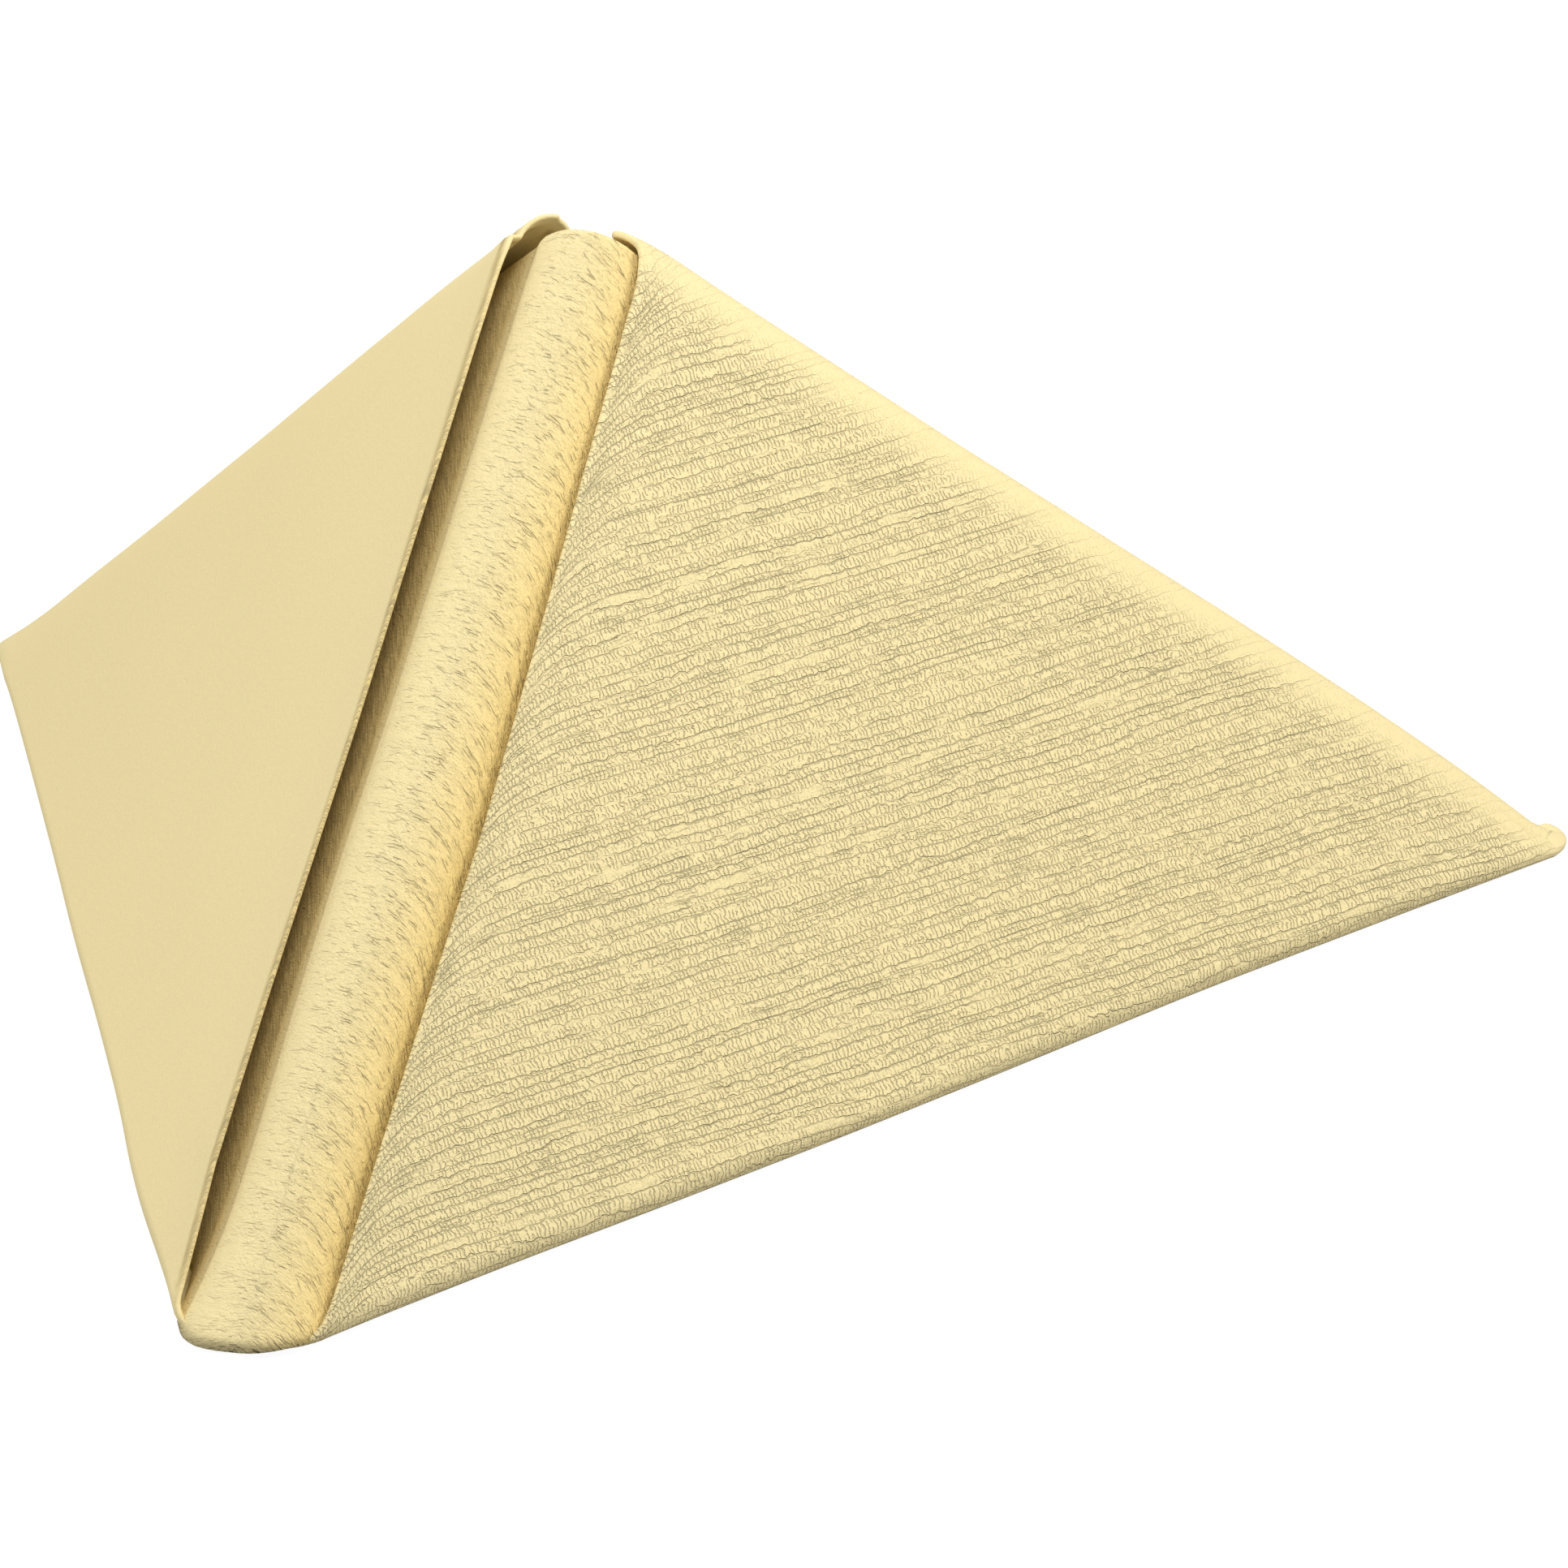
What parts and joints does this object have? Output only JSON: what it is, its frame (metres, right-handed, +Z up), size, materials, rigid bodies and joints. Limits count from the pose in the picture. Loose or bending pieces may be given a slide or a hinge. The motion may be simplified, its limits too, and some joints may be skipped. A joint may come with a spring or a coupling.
{
  "type": "paper napkin",
  "caption": "Square embossed paper napkin folded into a standing pyramid, with a rounded front ridge between two flaps, for a laid table.",
  "frame": {"origin": "on the ground, below the middle of the napkin's box", "axes": "+Z up, the front ridge faces -Y, the open back faces +Y, and the wings spread along X"},
  "size_m": [0.19, 0.1771, 0.0841],
  "materials": {
    "paper": "matte"
  },
  "bodies": {
    "root": {"napkin": "paper"}
  },
  "joints": []
}
